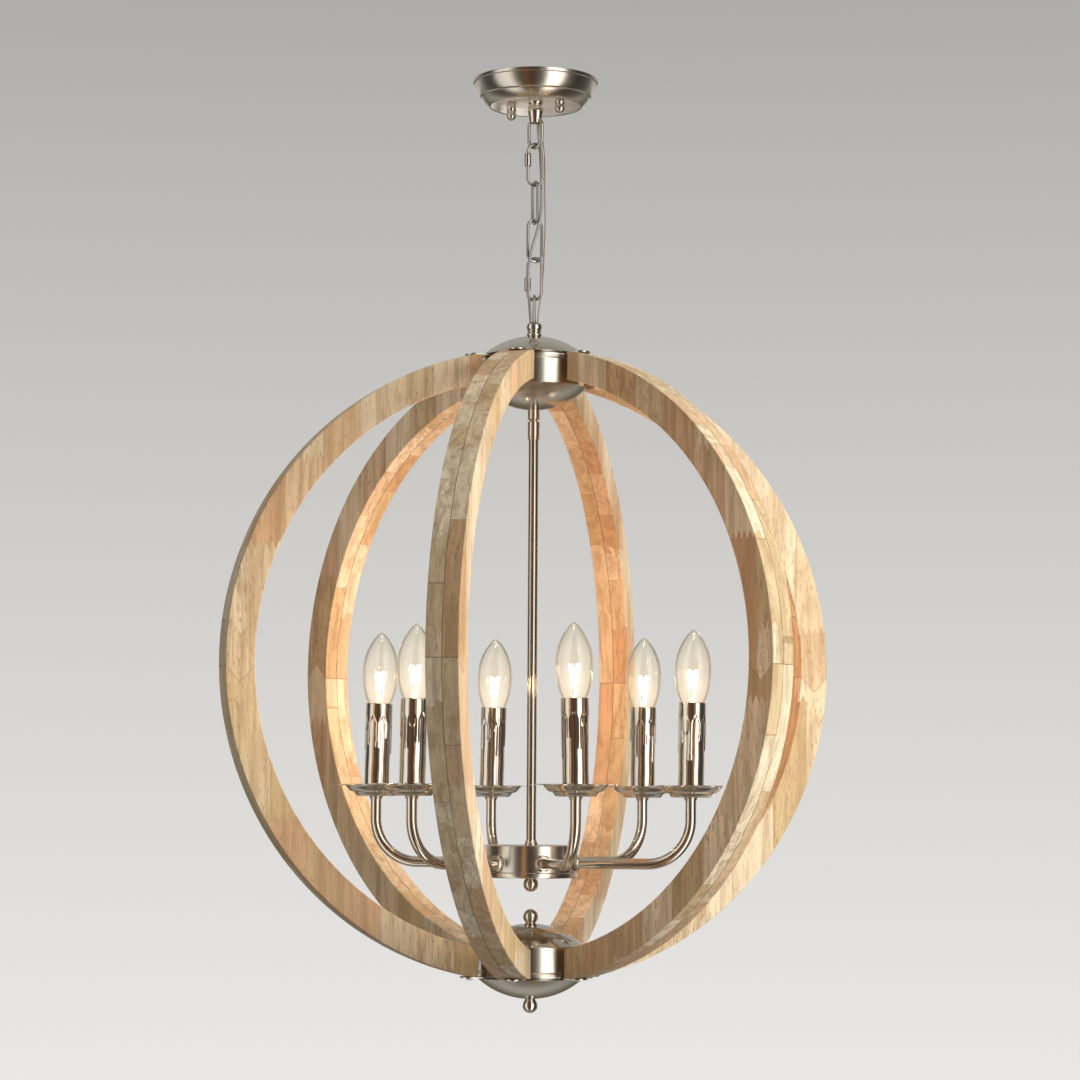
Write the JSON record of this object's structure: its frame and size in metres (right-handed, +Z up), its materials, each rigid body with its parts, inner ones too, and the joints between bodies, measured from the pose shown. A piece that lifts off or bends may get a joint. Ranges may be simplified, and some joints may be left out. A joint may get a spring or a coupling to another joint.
{
  "type": "orb chandelier",
  "caption": "Open wooden orb of curved ribs hung by a short chain from a round canopy, with candle lamps on bent arms around a central rod inside.",
  "frame": {"origin": "centre of the canopy's rim, on the ceiling plane and midway between the two outlet-box screws", "axes": "+Z up, out of the ceiling face; -Y towards the viewer of the picture; +X to that viewer's right"},
  "size_m": [0.5889, 0.5933, 0.9085],
  "materials": {
    "brushed_nickel": "brushed nickel plate",
    "polished_nickel": "polished nickel plate",
    "zinc_steel": "zinc-plated steel",
    "green_steel": "green earth screw",
    "rubberwood": "finger-jointed strips under a clear satin coat",
    "clear_glass": "clear lamp glass",
    "socket_plastic": "moulded lamp holder",
    "clear_cord": "clear sheath over tinned strands",
    "earth_sheath": "thin clear sheath over bare copper"
  },
  "bodies": {
    "ceiling_mount": {"canopy": "brushed_nickel", "mounting_crossbar": "zinc_steel", "canopy_studs": "zinc_steel", "canopy_cap_nuts": "polished_nickel", "canopy_earth_screw": "green_steel", "canopy_nipple": "zinc_steel", "canopy_nipple_nut": "zinc_steel", "canopy_loop": "polished_nickel", "supply_cord": "clear_cord", "earth_wire": "earth_sheath"},
    "upper_ring": {"upper_ring": "polished_nickel"},
    "quick_link_upper": {"quick_link_upper": "polished_nickel"},
    "chain_link_upper": {"chain_link_upper": "polished_nickel"},
    "chain_link_lower": {"chain_link_lower": "polished_nickel"},
    "quick_link_lower": {"quick_link_lower": "polished_nickel"},
    "lower_ring": {"lower_ring": "polished_nickel"},
    "quick_link_upper_sleeve": {"quick_link_upper_sleeve": "polished_nickel"},
    "quick_link_lower_sleeve": {"quick_link_lower_sleeve": "polished_nickel"},
    "orb_frame": {"bottom_drum": "brushed_nickel", "bottom_inner_dome": "brushed_nickel", "bottom_inner_finial": "brushed_nickel", "bottom_outer_dome": "brushed_nickel", "bottom_outer_finial": "brushed_nickel", "bottom_rod": "zinc_steel", "bottom_spider_plate": "brushed_nickel", "hub_nuts": "zinc_steel", "rib_1": "rubberwood", "rib_2": "rubberwood", "rib_3": "rubberwood", "rib_4": "rubberwood", "rib_5": "rubberwood", "rib_6": "rubberwood", "rib_screws": "zinc_steel", "stem_coupler": "brushed_nickel", "top_bowl": "brushed_nickel", "top_dome": "brushed_nickel", "top_drum": "brushed_nickel", "top_loop": "polished_nickel", "top_nipple": "zinc_steel", "top_spider_plate": "brushed_nickel"},
    "candle_cluster": {"stem_socket": "brushed_nickel", "stem_grub_screw": "zinc_steel", "stem_rod": "brushed_nickel", "stem_flange": "brushed_nickel", "arm_hub_body": "brushed_nickel", "arm_hub_lid": "brushed_nickel", "arm_hub_nuts": "zinc_steel", "arm_hub_finial": "brushed_nickel", "arms": "polished_nickel", "arm_collars": "polished_nickel", "drip_dishes": "polished_nickel", "candle_sleeves": "polished_nickel", "lamp_sockets": "socket_plastic"},
    "bulb_1": {"bulb_1": "clear_glass"},
    "bulb_2": {"bulb_2": "clear_glass"},
    "bulb_3": {"bulb_3": "clear_glass"},
    "bulb_4": {"bulb_4": "clear_glass"},
    "bulb_5": {"bulb_5": "clear_glass"},
    "bulb_6": {"bulb_6": "clear_glass"}
  },
  "joints": [
    {"name": "upper_ring_swing", "type": "hinge", "parent": "ceiling_mount", "child": "upper_ring", "pos_m": [0, 0, -0.037], "axis": [0.7071, -0.7071, 0], "range_deg": [-8, 8], "deforming": ["supply_cord", "earth_wire"]},
    {"name": "quick_link_upper_swing", "type": "hinge", "parent": "upper_ring", "child": "quick_link_upper", "pos_m": [0, 0, -0.0667], "axis": [0.7071, -0.7071, 0], "range_deg": [-8, 8]},
    {"name": "chain_link_upper_swing", "type": "hinge", "parent": "quick_link_upper", "child": "chain_link_upper", "pos_m": [0, 0, -0.1043], "axis": [1, 0, 0], "range_deg": [-8, 8]},
    {"name": "chain_link_lower_swing", "type": "hinge", "parent": "chain_link_upper", "child": "chain_link_lower", "pos_m": [0, 0, -0.1421], "axis": [0.342, -0.9397, 0], "range_deg": [-8, 8]},
    {"name": "quick_link_lower_swing", "type": "hinge", "parent": "chain_link_lower", "child": "quick_link_lower", "pos_m": [0, 0, -0.1799], "axis": [0.9272, 0.3746, 0], "range_deg": [-3, 3]},
    {"name": "lower_ring_swing", "type": "hinge", "parent": "quick_link_lower", "child": "lower_ring", "pos_m": [0, 0, -0.2177], "axis": [0.9272, -0.3746, 0], "range_deg": [-8, 8]},
    {"name": "orb_swing", "type": "hinge", "parent": "lower_ring", "child": "orb_frame", "pos_m": [0, 0, -0.2439], "axis": [0, 1, 0], "range_deg": [-8, 8]},
    {"name": "quick_link_upper_sleeve_travel", "type": "slide", "parent": "quick_link_upper", "child": "quick_link_upper_sleeve", "axis": [0, 0, -1], "range_m": [0, 0.0095]},
    {"name": "quick_link_lower_sleeve_travel", "type": "slide", "parent": "quick_link_lower", "child": "quick_link_lower_sleeve", "axis": [0, 0, 1], "range_m": [0, 0.0095]},
    {"name": "candle_cluster_turn", "type": "hinge", "parent": "orb_frame", "child": "candle_cluster", "pos_m": [0, 0, -0.3437], "axis": [0, 0, 1], "range_deg": [-30, 30]},
    {"name": "bulb_1_out", "type": "slide", "parent": "candle_cluster", "child": "bulb_1", "axis": [-0.0157, 0, 0.9999], "range_m": [0, 0.03]},
    {"name": "bulb_2_out", "type": "slide", "parent": "candle_cluster", "child": "bulb_2", "axis": [0.0175, 0, 0.9998], "range_m": [0, 0.03]},
    {"name": "bulb_3_out", "type": "slide", "parent": "candle_cluster", "child": "bulb_3", "axis": [0.0087, 0, 1], "range_m": [0, 0.03]},
    {"name": "bulb_4_out", "type": "slide", "parent": "candle_cluster", "child": "bulb_4", "axis": [0.0227, 0, 0.9997], "range_m": [0, 0.03]},
    {"name": "bulb_5_out", "type": "slide", "parent": "candle_cluster", "child": "bulb_5", "axis": [0.0262, 0, 0.9997], "range_m": [0, 0.03]},
    {"name": "bulb_6_out", "type": "slide", "parent": "candle_cluster", "child": "bulb_6", "axis": [0.0209, 0, 0.9998], "range_m": [0, 0.03]}
  ]
}
